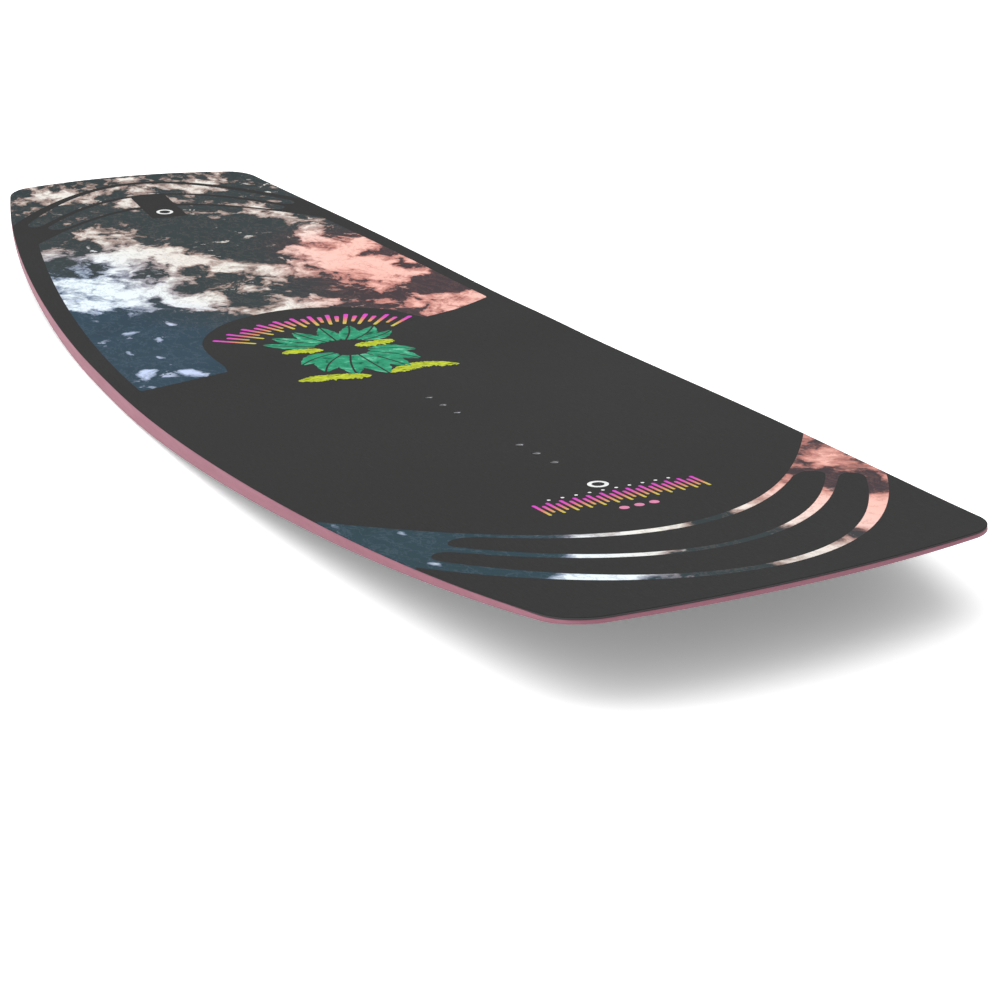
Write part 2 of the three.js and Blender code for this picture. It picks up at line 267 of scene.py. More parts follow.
def make_main_cloud():
    """Large cloud on the far half, from the cross curve to a round bay about mid-board."""
    low_x, high_x = 54.0, -95.0  # where the bay boundary meets the -Y and +Y bands
    bay = np.vstack([
        np.array([(low_x, -float(band_y(low_x))), (50.0, -176.0), (45.0, -156.0), (39.5, -134.0)]),
        smooth([(35.0, -115.5), (18.0, -113.0), (-12.0, -113.5), (-40.0, -111.5), (-65.0, -105.0),
                (-90.0, -90.0), (-112.0, -67.0), (-126.0, -36.0), (-131.0, -4.0), (-126.0, 29.0),
                (-112.0, 61.0), (-89.0, 88.0), (-52.0, 106.0)], per_span=6),
        np.array([(-57.5, 122.0), (-66.0, 145.0), (-80.0, 170.0),
                  (high_x, float(band_y(high_x)))]),
    ])
    y = 150.0  # settles where the cross curve meets the side band
    for _ in range(60):
        y = 0.5 * y + 0.5 * band_y(cloud_in(y))
    y = float(y)
    x = float(cloud_in(y))
    return np.vstack([band_side(-x, low_x, -1)[:-1], bay[:-1], band_side(high_x, -x, 1)[:-1],
                      (across(cloud_in, y, -y) * FLIP)[:-1]])


MAIN_CLOUD = make_main_cloud()
SPLIT_X = -212.0  # the main cloud is split here and along y = 0


def beyond(x_of_y):
    return np.vstack([across(x_of_y, -REACH_Y, REACH_Y),
                      [(BEYOND_X, REACH_Y), (BEYOND_X, -REACH_Y)]])


BEYOND_CLOUD_IN, BEYOND_CLOUD_OUT = beyond(cloud_in), beyond(cloud_out)


# ------------------------------------------------------------------ small motifs of the deck print
def arch_rays(count=23, half_span=95.0, inner_share=0.70):
    """Evenly spaced tapering rays along an arch; every other ray is a short one."""
    rays = []
    for i in range(count):
        outer_y = -half_span + 2 * half_span * i / (count - 1)
        inner_y = outer_y * inner_share
        outer = np.array((39.0 - math.sqrt(138.0 ** 2 - outer_y ** 2), outer_y))
        inner = np.array((14.5 - math.sqrt(84.0 ** 2 - inner_y ** 2), inner_y))
        if i % 2:
            outer, inner = outer + (inner - outer) * 0.20, outer + (inner - outer) * 0.72
        rays.append(capsule(outer, inner, 4.4, 3.2))
    return rays


def bar_row(count=25, half_span=59.0):
    """Straight row of bars across the near end, long and short in turn."""
    bars = []
    for i in range(count):
        y = -half_span + 2 * half_span * i / (count - 1)
        x0, x1 = (466.5, 488.5) if i % 2 == 0 else (471.0, 484.0)
        bars.append(capsule((x0, y), (x1, y), 2.6, 2.1))
    return bars


def stroke(spine, width, seed):
    """A dry-brush stroke: ragged on its +X side, smoother on its -X side."""
    rng = np.random.RandomState(seed)
    centre = resample(smooth(spine, per_span=10), 0.9)
    count = len(centre)
    along = np.gradient(centre, axis=0)
    normal = np.c_[-along[:, 1], along[:, 0]] / np.hypot(*along.T)[:, None]
    normal *= np.sign(normal[:, :1] + 1e-9)  # towards +X
    t = np.linspace(0, 1, count)
    body = width * 0.5 * np.minimum(1, np.minimum(t, 1 - t) * 5) ** 0.6
    frays = np.convolve(rng.rand(count + 2) ** 2, (0.25, 0.5, 0.25), "valid")
    ragged = body * (0.62 + 1.05 * frays) + 1.5 * (rng.rand(count) > 0.75)
    even = body * (0.84 + 0.26 * rng.rand(count))
    return np.vstack([centre + normal * ragged[:, None], (centre - normal * even[:, None])[::-1]])


def leaf(base, tip, width, bend, half_rib=0.9):
    """Two halves of a pointed leaf either side of an unprinted midrib."""
    base, tip = np.array(base, float), np.array(tip, float)
    along = tip - base
    normal = np.array([-along[1], along[0]]) / np.hypot(*along)
    t = np.linspace(0, 1, 22)
    spine = base + along * t[:, None] + normal * (bend * np.sin(math.pi * t))[:, None]
    half = width * 0.5 * np.sin(math.pi * t ** 0.8) ** 0.85
    keep = np.abs(half) > 0.8
    halves = []
    for side in (1, -1):
        notch = 1 + 0.07 * np.sin(t * 34 + side)
        inner = spine + normal * (side * np.minimum(half_rib, half * 0.5))[:, None]
        outer = spine + normal * (side * half * notch)[:, None]
        halves.append(np.vstack([inner[keep], outer[keep][::-1]]))
    return halves


ARCH_RAYS, NEAR_BARS = arch_rays(), bar_row()
NEAR_DOTS = [disc((461.0, -45.0 + 10.0 * i), 1.25, 14) for i in range(10)]
RING_NEAR = (disc((448.0, -1.0), 7.2, 36), disc((448.0, -1.0), 4.3, 30))
RING_FAR = (disc((-526.0, 0.0), 9.4, 40), disc((-526.0, 0.0), 6.0, 32))
NEAR_DISCS = [disc((500.5, y), 3.3, 22) for y in (-13.0, -2.0, 9.0)]
STROKES = [
    stroke([(4, -56), (5, -38), (11, -20)], width=13.5, seed=3),
    stroke([(9, 10), (10, 29), (6, 48)], width=14.5, seed=5),
    stroke([(88, -73), (90, -44), (101, -13)], width=16.0, seed=7),
    stroke([(101, 4), (89, 36), (103, 67)], width=15.0, seed=9),
]
LEAF_TABLE = (  # base, tip, width, bend
    ((-3, -20), (-30, -63), 17, 3), ((-8, -14), (-47, -48), 20, 3),
    ((-10, -7), (-57, -24), 19, 2), ((-11, 1), (-61, 4), 19, 0),
    ((-10, 9), (-56, 31), 19, -2), ((-8, 16), (-45, 51), 19, -3),
    ((-3, 22), (-24, 60), 16, -3), ((24, -12), (46, -54), 22, -4),
    ((30, -10), (74, -43), 27, -4), ((33, -4), (94, -23), 24, -2),
    ((34, 2), (103, 3), 27, 0), ((33, 8), (92, 27), 24, 2),
    ((30, 12), (72, 46), 26, 4), ((24, 14), (44, 55), 20, 4),
)
LEAVES = [half for row in LEAF_TABLE for half in leaf(*row)]

# Two groups of three inserts at each end, all on the centre line.
INSERT_MID_X, INSERT_PITCH = 286.0, 25.4
GROUP_OFFSET = 3 * INSERT_PITCH
INSERT_X = sorted(end * (INSERT_MID_X + group * GROUP_OFFSET + i * INSERT_PITCH)
                  for end in (1, -1) for group in (-1, 1) for i in (-1, 0, 1))
HOLE_R, HOLE_LIP, COLLAR, HOLE_SEGMENTS = 3.1, 0.12, 0.7, 32
HOLES = [disc((x, 0.0), HOLE_R + HOLE_LIP, HOLE_SEGMENTS) for x in INSERT_X]
COLLARS = [disc((x, 0.0), HOLE_R + COLLAR, HOLE_SEGMENTS) for x in INSERT_X]


# ------------------------------------------------------------------ triangulation in plan
def centroids(verts, faces):
    return (verts[faces[:, 0]] + verts[faces[:, 1]] + verts[faces[:, 2]]) / 3


def triangulate(lines, boundary, reach, step, margin, clearance):
    """Triangles inside boundary that follow every (points, closed) line.

    A staggered grid fills the gaps: it spans +-reach, stays margin inside the outline
    and keeps clearance from the lines' points.
    """
    points, edges = [], []
    for line, closed in lines:
        first = len(points)
        points.extend(map(tuple, line))
        last = len(points) - 1
        edges.extend((i, i + 1) for i in range(first, last))
        if closed:
            edges.append((last, first))
    tree = KDTree(len(points))
    for i, p in enumerate(points):
        tree.insert((p[0], p[1], 0), i)
    tree.balance()
    for i, x in enumerate(np.arange(-reach[0], reach[0] + 1, step[0])):
        shift = step[1] / 2 if i % 2 else 0
        for y in np.arange(-reach[1] + shift, reach[1] + 1, step[1]):
            inside = abs(y) < half_width(x) - margin and abs(x) < end_x(y) - margin
            if inside and tree.find((x, y, 0))[2] > clearance:
                points.append((float(x), float(y)))

    result = delaunay_2d_cdt([Vector(p) for p in points], edges, [], 0, 1e-4, False)
    verts = np.array([tuple(v) for v in result[0]], float)
    faces = np.array([tuple(f) for f in result[2]], int)
    a, b, c = verts[faces[:, 0]], verts[faces[:, 1]], verts[faces[:, 2]]
    area = 0.5 * ((b[:, 0] - a[:, 0]) * (c[:, 1] - a[:, 1])
                  - (c[:, 0] - a[:, 0]) * (b[:, 1] - a[:, 1]))
    faces[area < 0] = faces[area < 0][:, ::-1]
    faces = faces[np.abs(area) > 1e-6]
    return verts, faces[in_poly(centroids(verts, faces), boundary)]


ARRIS = 0.55  # inset at which the level deck gives way to its rounded edge


def triangulate_deck():
    rim = inset(ARRIS)
    lines = [(rim, True), (inset(1.5), True)]
    lines += [(across(f, -REACH_Y, REACH_Y), False) for f in (cloud_in, cloud_out)]
    lines.append((across(cloud_out, -REACH_Y, REACH_Y) * FLIP, False))
    lines += [(poly, True) for poly in (LOBE1, LOBE2, LOBE1 * FLIP, LOBE2 * FLIP)]
    lines.append((resample(PLAIN_RECT, 6.0, closed=True), True))
    lines.append((resample(MAIN_CLOUD, 4.0, closed=True), True))
    lines.append((resample([(-480, 0.0), (-135, 0.0)], 8.0), False))
    lines.append((resample([(SPLIT_X, -187), (SPLIT_X, 187)], 8.0), False))
    for group in (ARCH_RAYS, NEAR_BARS, NEAR_DOTS, RING_NEAR, RING_FAR, NEAR_DISCS, STROKES,
                  LEAVES, HOLES, COLLARS):
        lines += [(poly, True) for poly in group]
    return triangulate(lines, rim, reach=(672, 210), step=(8.0, 11.0), margin=2.5, clearance=3.2)


def in_near_cloud(points):
    return (in_poly(points, BEYOND_CLOUD_IN) & ~in_poly(points, BEYOND_CLOUD_OUT)
            & ~in_poly(points, LOBE1) & ~in_poly(points, LOBE2))


def regions(points):
    """Name of the printed region at each plan point."""
    labels = np.full(len(points), "field", dtype="U24")
    rect = in_poly(points, PLAIN_RECT)
    main = in_poly(points, MAIN_CLOUD) & ~rect
    quarter = (points[:, 0] < SPLIT_X).astype(int) * 2 + (points[:, 1] < 0).astype(int)
    for k in range(4):
        labels[main & (quarter == k)] = f"cloud_main_{k + 1}"
    tip = in_poly(points, BEYOND_CLOUD_OUT * FLIP)
    lobes = (in_poly(points, LOBE1 * FLIP) | in_poly(points, LOBE2 * FLIP)) & ~rect
    labels[tip | lobes] = "cloud_tip"
    labels[in_near_cloud(points)] = "cloud_near"
    for label, polys in (("arc_bars", ARCH_RAYS), ("near_bars", NEAR_BARS),
                         ("near_discs", NEAR_DISCS), ("brush_strokes", STROKES),
                         ("leaves", LEAVES), ("white_marks", NEAR_DOTS)):
        labels[in_any(points, polys)] = label
    for outer, inner in (RING_NEAR, RING_FAR):
        labels[in_poly(points, outer) & ~in_poly(points, inner)] = "white_marks"
    labels[in_any(points, HOLES)] = "hole"
    return labels


# ------------------------------------------------------------------ mesh helpers
def new_object(name, verts, faces, material, weld=True):
    """Smooth-shaded object from vertices in millimetres."""
    mesh = bpy.data.meshes.new(name)
    mesh.from_pydata([tuple(v) for v in (np.asarray(verts, float) * 0.001)], [],
                     [tuple(int(i) for i in f) for f in faces])
    bm = bmesh.new()
    bm.from_mesh(mesh)
    if weld:
        bmesh.ops.remove_doubles(bm, verts=bm.verts, dist=4e-6)
    for face in bm.faces:
        face.smooth = True
    bm.to_mesh(mesh)
    bm.free()
    mesh.update()
    obj = bpy.data.objects.new(name, mesh)
    bpy.context.scene.collection.objects.link(obj)
    mesh.materials.append(material)
    return obj


def mount(obj, replaces=None):
    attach(obj, "root")
    if replaces:
        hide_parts(replaces)


def shifted(faces, offset):
    return [tuple(i + offset for i in face) for face in faces]


def edge_row(distance, z_at):
    """The outline at an inset; z_at(x, y) gives its height."""
    p = inset(distance)
    return np.c_[p, z_at(p[:, 0], p[:, 1])]


def strip(rows, closed_profile=False, flip=False):
    """Quads between successive closed rows of equal length."""
    n, m = len(rows[0]), len(rows)
    faces = []
    for k in range(m if closed_profile else m - 1):
        below = (k + 1) % m
        for i in range(n):
            j = (i + 1) % n
            quad = (k * n + i, k * n + j, below * n + j, below * n + i)
            faces.append(quad[::-1] if flip else quad)
    return np.vstack(rows), faces


# ------------------------------------------------------------------ colour
GAIN = 1.25  # how much brighter than its own colour a level surface looks in this studio


def linear(color):
    """sRGB 0-255 to a linear RGBA; four values are linear already and pass through."""
    if len(color) == 4:
        return color
    out = []
    for v in color:
        v = v / 255.0
        out.append(v / 12.92 if v <= 0.04045 else ((v + 0.055) / 1.055) ** 2.4)
    return (*out, 1.0)


def ink(red, green, blue):
    """Colour as it should look under the studio light."""
    return (*(v / GAIN for v in linear((red, green, blue))[:3]), 1.0)


# ------------------------------------------------------------------ shader graph helpers
def is_socket(value):
    return hasattr(value, "is_output")


class Graph:
    """Adds nodes to a tree; values may be numbers or other nodes' outputs."""

    def __init__(self, tree):
        self.tree = tree

    def node(self, kind):
        return self.tree.nodes.new(kind)

    def put(self, socket, value):
        if is_socket(value):
            self.tree.links.new(value, socket)
        else:
            socket.default_value = value

    def math(self, operation, *values):
        n = self.node("ShaderNodeMath")
        n.operation = operation
        for socket, value in zip(n.inputs, values):
            self.put(socket, value)
        return n.outputs[0]

    def add(self, a, b):
        return self.math("ADD", a, b)

    def sub(self, a, b):
        return self.math("SUBTRACT", a, b)

    def mul(self, a, b):
        return self.math("MULTIPLY", a, b)

    def inverse(self, value):
        return self.sub(1.0, value)

    def centred(self, noise):
        return self.sub(noise, 0.5)

    def vary(self, start, by, amount):
        """start + by * amount"""
        return self.add(start, self.mul(by, amount))

    def weighted(self, *terms):
        """Sum of (value, weight) terms."""
        total = self.mul(*terms[0])
        for value, weight in terms[1:]:
            total = self.vary(total, value, weight)
        return total

    def vector_math(self, operation, a, b=None, scale=None):
        n = self.node("ShaderNodeVectorMath")
        n.operation = operation
        self.put(n.inputs[0], a)
        if b is not None:
            self.put(n.inputs[1], b)
        if scale is not None:
            self.put(n.inputs["Scale"], scale)
        return n.outputs[0]

    def mapped(self, vector, scale=(1, 1, 1), rot=(0, 0, 0), loc=(0, 0, 0)):
        n = self.node("ShaderNodeMapping")
        self.put(n.inputs["Vector"], vector)
        n.inputs["Scale"].default_value = scale
        n.inputs["Rotation"].default_value = rot
        n.inputs["Location"].default_value = loc
        return n.outputs[0]

    def noise(self, vector, scale, detail=2.0, rough=0.5, dist=0.0, lac=2.0, out="Fac"):
        n = self.node("ShaderNodeTexNoise")
        self.put(n.inputs["Vector"], vector)
        n.inputs["Scale"].default_value = scale
        n.inputs["Detail"].default_value = detail
        n.inputs["Roughness"].default_value = rough
        n.inputs["Lacunarity"].default_value = lac
        n.inputs["Distortion"].default_value = dist
        return n.outputs[out]

    def wave(self, vector, scale, direction):
        n = self.node("ShaderNodeTexWave")
        n.bands_direction = direction
        self.put(n.inputs["Vector"], vector)
        n.inputs["Scale"].default_value = scale
        return n.outputs["Fac"]

    def fade(self, value, lo, hi):
        """Smooth step: 0 at lo, 1 at hi."""
        n = self.node("ShaderNodeMapRange")
        n.interpolation_type = "SMOOTHSTEP"
        self.put(n.inputs["Value"], value)
        self.put(n.inputs["From Min"], lo)
        self.put(n.inputs["From Max"], hi)
        return n.outputs[0]

    def ramp(self, value, *stops):
        """Colour ramp through (position, colour) stops."""
        n = self.node("ShaderNodeValToRGB")
        elements = n.color_ramp.elements
        while len(elements) > 1:
            elements.remove(elements[-1])
        elements[0].position, elements[0].color = stops[0][0], linear(stops[0][1])
        for position, color in stops[1:]:
            elements.new(position).color = linear(color)
        self.put(n.inputs[0], value)
        return n.outputs["Color"]

    def mix(self, a, b, amount, mask=None, mode="MIX"):
        """Colour a turning into b by amount, scaled by the mask if there is one."""
        if mask is not None:
            amount = self.mul(mask, amount)
        n = self.node("ShaderNodeMix")
        n.data_type, n.blend_type = "RGBA", mode
        self.put(n.inputs["Factor"], amount)
        self.put(n.inputs[6], a if is_socket(a) else linear(a))
        self.put(n.inputs[7], b if is_socket(b) else linear(b))
        return n.outputs[2]

    def bump(self, height, strength, distance):
        n = self.node("ShaderNodeBump")
        n.inputs["Strength"].default_value = strength
        n.inputs["Distance"].default_value = distance
        self.put(n.inputs["Height"], height)
        return n.outputs[0]

    def xyz(self, vector):
        n = self.node("ShaderNodeSeparateXYZ")
        self.put(n.inputs[0], vector)
        return n.outputs[0], n.outputs[1], n.outputs[2]

    def lump(self, vector, centre_x, centre_y, radius_x, radius_y, turn):
        """Soft oval mass: 1 in the middle, 0 at 1.5 radii (millimetres, degrees)."""
        n = self.node("ShaderNodeMapping")
        n.vector_type = "TEXTURE"
        self.put(n.inputs["Vector"], vector)
        n.inputs["Location"].default_value = (centre_x * 0.001, centre_y * 0.001, 0.0)
        n.inputs["Rotation"].default_value = (0.0, 0.0, math.radians(turn))
        n.inputs["Scale"].default_value = (radius_x * 0.001, radius_y * 0.001, 1.0)
        length = self.node("ShaderNodeVectorMath")
        length.operation = "LENGTH"
        self.put(length.inputs[0], n.outputs[0])
        return self.fade(self.sub(1.5, length.outputs["Value"]), lo=0.0, hi=1.5)


class Material(Graph):
    def __init__(self, name, shader="ShaderNodeBsdfPrincipled"):
        self.material = bpy.data.materials.new(name)
        self.material.use_nodes = True
        super().__init__(self.material.node_tree)
        self.tree.nodes.clear()
        output = self.node("ShaderNodeOutputMaterial")
        self.shader = self.node(shader)
        self.put(output.inputs[0], self.shader.outputs[0])
        self.coord = self.node("ShaderNodeTexCoord").outputs["Object"]

    def finish(self, color, rough, normal, spec, metallic=0.0):
        for socket, value in (("Base Color", color), ("Roughness", rough), ("Metallic", metallic),
                              ("Specular IOR Level", spec), ("Coat Roughness", 0.2),
                              ("Normal", normal)):
            self.put(self.shader.inputs[socket], value)
        return self.material


class DeckMaterial(Material):
    """Everything on the deck shares a fine pebble and a few hairline rubs."""

    def __init__(self, name):
        super().__init__(name)
        pebble = self.noise(self.coord, scale=2600.0, rough=0.6)
        self.slow = self.noise(self.coord, scale=7.0, detail=3.0)
        streaks = self.mapped(self.coord, scale=(4.0, 90.0, 4.0), rot=(0, 0, 0.35))
        self.rub = self.fade(self.noise(streaks, scale=14.0, detail=4.0, rough=0.65),
                             lo=0.66, hi=0.74)
        rough = self.vary(0.5, self.centred(self.slow), amount=0.16)
        self.rough = self.sub(rough, self.mul(self.rub, 0.06))
        height = self.sub(self.mul(pebble, 0.6), self.mul(self.rub, 0.15))
        self.normal = self.bump(height, strength=0.35, distance=0.00006)

    def finish_deck(self, color):
        return self.finish(color, self.rough, self.normal, spec=0.006)


# ------------------------------------------------------------------ deck materials
def field_material():
    mat = DeckMaterial("deck_charcoal")
    grain = mat.noise(mat.coord, scale=900.0, detail=3.0, rough=0.7)
    cloth = mat.noise(mat.mapped(mat.coord, scale=(1.0, 6.0, 1.0)), scale=160.0)
    color = mat.ramp(mat.weighted((grain, 0.5), (cloth, 0.5)),
                     (0.30, ink(47, 47, 47)), (0.50, ink(51, 51, 51)), (0.72, ink(56, 56, 56)))
    warmer = mat.mix(color, ink(54, 53, 53), amount=0.5)
    color = mat.mix(color, warmer, mat.fade(mat.slow, lo=0.35, hi=0.7))
    color = mat.mix(color, ink(112, 112, 112), amount=0.10, mask=mat.rub)
    # Painted highlight: where the surface turns sideways, at the rounded arris and the sheet's cut
    # edge, it is painted paler to lift the shade the lights leave there.
    up = mat.xyz(mat.node("ShaderNodeNewGeometry").outputs["Normal"])[2]
    color = mat.mix(color, ink(84, 82, 83), mat.fade(mat.inverse(up), lo=0.55, hi=0.85))
    return mat.finish_deck(color)


def cloud_palette(mat, near, warped):
    """Dark, middle and light inks, and how cold the print is, at each place."""
    x, y, _ = mat.xyz(mat.coord)
    if near:
        warm = mat.fade(y, lo=0.02, hi=0.12)
        cold = mat.fade(mat.mul(y, -1.0), lo=0.02, hi=0.10)
        slate, slate_ink = cold, ink(51, 71, 80)
    else:
        inner = mat.fade(x, lo=-0.45, hi=-0.33)
        warm = mat.mul(mat.fade(mat.vary(y, x, amount=0.12), lo=-0.02, hi=0.085), inner)
        cold = mat.mul(mat.fade(mat.mul(y, -1.0), lo=0.03, hi=0.15), inner)
        diagonal = mat.sub(mat.mul(x, 0.6), mat.mul(y, 1.0))
        slate, slate_ink = mat.fade(diagonal, lo=-0.06, hi=0.06), ink(53, 73, 87)
    dark = mat.mix(ink(57, 66, 68), ink(74, 63, 67), warm)
    dark = mat.mix(dark, slate_ink, slate)
    mid = mat.mix(ink(164, 142, 134), ink(198, 134, 124), warm)
    mid = mat.mix(mid, ink(136, 150, 172), cold)
    light = mat.mix(ink(240, 237, 230), ink(255, 203, 191), warm)
    light = mat.mix(light, ink(236, 247, 254), cold)
    if not near:  # towards the middle of the board the pale parts turn lavender
        lavender = mat.mul(mat.fade(x, lo=-0.20, hi=-0.15), cold)
        light = mat.mix(light, ink(202, 215, 246), lavender)
    blush = mat.fade(mat.noise(warped, scale=7.0, detail=3.0), lo=0.45, hi=0.62)
    blush_ink = mat.mix(ink(226, 211, 203), ink(247, 180, 166), warm)
    light = mat.mix(light, blush_ink, amount=mat.inverse(cold), mask=mat.mul(blush, 0.45))
    shade = mat.fade(mat.noise(warped, scale=18.0, detail=4.0, rough=0.6), lo=0.40, hi=0.72)
    dark = mat.mix(dark, mat.mix(dark, ink(34, 38, 40), amount=0.5), amount=0.28, mask=shade)
    return dark, mid, light, cold


def cloud_material(name, lumps, level, seed=0.0, mirrored=False, near=False):
    """Tie-dye clouds: soft masses with ragged, crinkled edges over a dark ground."""
    mat = DeckMaterial(name)
    flat = mat.mapped(mat.coord, scale=(1, 1, 0))
    if mirrored:
        flat = mat.vector_math("ABSOLUTE", mat.mapped(flat, loc=(0, 0.006, 0)))
    flat = mat.mapped(flat, loc=(seed, seed * 0.37, 0.0))
    warp = mat.noise(flat, scale=13.0, detail=5.0, rough=0.60, out="Color")
    warp = mat.vector_math("SUBTRACT", warp, (0.5, 0.5, 0.5))
    warped = mat.vector_math("ADD", flat, mat.vector_math("SCALE", warp, scale=0.070))
    here = mat.vector_math("ADD", mat.mapped(mat.coord, scale=(1, 1, 0)),
                           mat.vector_math("SCALE", warp, scale=0.050))

    # Cloud density from three sizes of noise and the placed lumps.
    big = mat.noise(warped, scale=12.0, detail=6.0, rough=0.60, lac=2.1)
    patch = mat.noise(mat.mapped(warped, rot=(0, 0, 0.6), scale=(1.0, 1.25, 1.0)),
                      scale=29.0, detail=6.0, rough=0.57, lac=2.1)
    crumb = mat.noise(mat.mapped(warped, rot=(0, 0, -0.5), scale=(1.3, 1.0, 1.0)),
                      scale=96.0, detail=5.0, rough=0.70)
    density = mat.add(mat.mul(mat.centred(big), 1.0), level)
    density = mat.vary(density, mat.centred(patch), amount=1.25)
    density = mat.vary(density, mat.centred(crumb), amount=0.26)
    for *oval, strength in lumps:
        density = mat.vary(density, mat.lump(here, *oval), amount=strength)

    dark, mid, light, cold = cloud_palette(mat, near, warped)
    # Density ranges over which dark turns to middle, and middle to light.
    mid_range = (-0.120, 0.070) if near else (-0.050, 0.050)
    light_range = (0.0, 0.340) if near else (0.015, 0.235)
    color = mat.mix(dark, mid, mat.fade(density, *mid_range))
    color = mat.mix(color, light, mat.fade(density, *light_range))

    # Dark threads run through the light parts.
    vein = mat.noise(mat.mapped(warped, rot=(0, 0, -0.7), scale=(1.0, 2.2, 1.0)),
                     scale=34.0, detail=6.0, rough=0.66)
    off_vein = mat.math("ABSOLUTE", mat.centred(vein))
    crease = mat.inverse(mat.fade(off_vein, lo=0.004, hi=0.028))
    color = mat.mix(color, mat.mix(mid, dark, amount=0.6), amount=0.26, mask=crease)

    # Pale flecks are strewn over the dark.
    cells = mat.noise(mat.mapped(here, rot=(0, 0, 0.25), scale=(1.2, 1.0, 1.0)),
                      scale=58.0, detail=4.0, rough=0.60)
    where = mat.fade(mat.noise(here, scale=12.0), lo=0.50, hi=0.62)
    if near:
        where = mat.mul(where, mat.inverse(cold))
    fleck = mat.mul(mat.fade(cells, lo=0.60, hi=0.66), where)
    fleck_ink = mat.mix(light, ink(206, 216, 246), cold)
    color = mat.mix(color, fleck_ink, amount=0.85, mask=fleck)

    dither = mat.noise(mat.coord, scale=1100.0, rough=0.7)
    grey = mat.ramp(dither, (0.3, (70, 70, 70)), (0.7, (190, 190, 190)))
    color = mat.mix(color, grey, amount=0.08, mode="OVERLAY")
    color = mat.mix(color, ink(150, 150, 150), amount=0.06, mask=mat.rub)
    return mat.finish_deck(color)


def fade_material(name, lo, hi, radial=False):
    """Magenta to yellow ink: along x from lo to hi, or inwards from radius hi to lo."""
    mat = DeckMaterial(name)
    x, y, _ = mat.xyz(mat.coord)
    if radial:
        off_x = mat.sub(x, 0.027)  # from the arch's centre
        radius = mat.math("SQRT", mat.add(mat.mul(off_x, off_x), mat.mul(y, y)))
        along = mat.sub(hi, radius)
    else:
        along = mat.sub(x, lo)
    along = mat.math("DIVIDE", along, hi - lo)
    ragged = mat.centred(mat.noise(mat.coord, scale=130.0, detail=3.0, rough=0.6))
    color = mat.ramp(mat.vary(along, ragged, amount=0.18),
                     (0.0, ink(214, 72, 200)), (0.30, ink(216, 88, 176)),
                     (0.55, ink(216, 128, 116)), (0.78, ink(208, 172, 92)),
                     (1.0, ink(202, 192, 84)))
    worn = mat.fade(mat.noise(mat.coord, scale=620.0, detail=3.0, rough=0.6), lo=0.66, hi=0.74)
    return mat.finish_deck(mat.mix(color, ink(90, 80, 84), amount=0.35, mask=worn))


def ink_material(name, *stops, worn_amount, scale=120.0, stretch=(1, 1, 1)):
    """Mottled ink with worn spots; stops are (position, ink)."""
    mat = DeckMaterial(name)
    mottle = mat.noise(mat.mapped(mat.coord, scale=stretch), scale=scale, detail=5.0,
                       rough=0.62, dist=0.4)
    color = mat.ramp(mottle, *stops)
    worn = mat.fade(mat.noise(mat.coord, scale=540.0, detail=4.0, rough=0.6), lo=0.63, hi=0.72)
    return mat.finish_deck(mat.mix(color, ink(66, 64, 62), amount=worn_amount, mask=worn))


def raw_edge_material():
    """Where a drill has cut through the sheet: pale, fuzzy plastic."""
    mat = Material("drilled_raw_edge")
    fuzz = mat.noise(mat.mapped(mat.coord, scale=(1, 1, 5)), scale=1500.0, detail=4.0, rough=0.7)
    color = mat.ramp(fuzz, (0.3, ink(84, 84, 85)), (0.7, ink(116, 116, 117)))
    return mat.finish(color, rough=0.7, normal=mat.bump(fuzz, strength=0.4, distance=0.00008),
                      spec=0.1)


# ------------------------------------------------------------------ body materials
def sidewall_material():
    mat = Material("sidewall_cast_urethane")
    swirl = mat.noise(mat.mapped(mat.coord, scale=(1.0, 1.0, 7.0)), scale=26.0, detail=6.0,
                      rough=0.6, dist=0.8)
    speck = mat.fade(mat.noise(mat.coord, scale=700.0, rough=0.6), lo=0.62, hi=0.72)
    color = mat.ramp(swirl, (0.25, ink(162, 107, 122)), (0.5, ink(170, 115, 130)),
                     (0.75, ink(177, 122, 137)))
    color = mat.mix(color, ink(146, 90, 106), amount=0.22, mask=speck)
    sanding = mat.noise(mat.mapped(mat.coord, scale=(1.0, 1.0, 42.0)), scale=60.0, detail=4.0,
                        rough=0.62)
    fine = mat.noise(mat.coord, scale=1900.0)
    height = mat.weighted((sanding, 0.6), (fine, 0.4))
    return mat.finish(color, rough=mat.vary(0.44, sanding, amount=0.16),
                      normal=mat.bump(height, strength=0.35, distance=0.00012), spec=0.15)


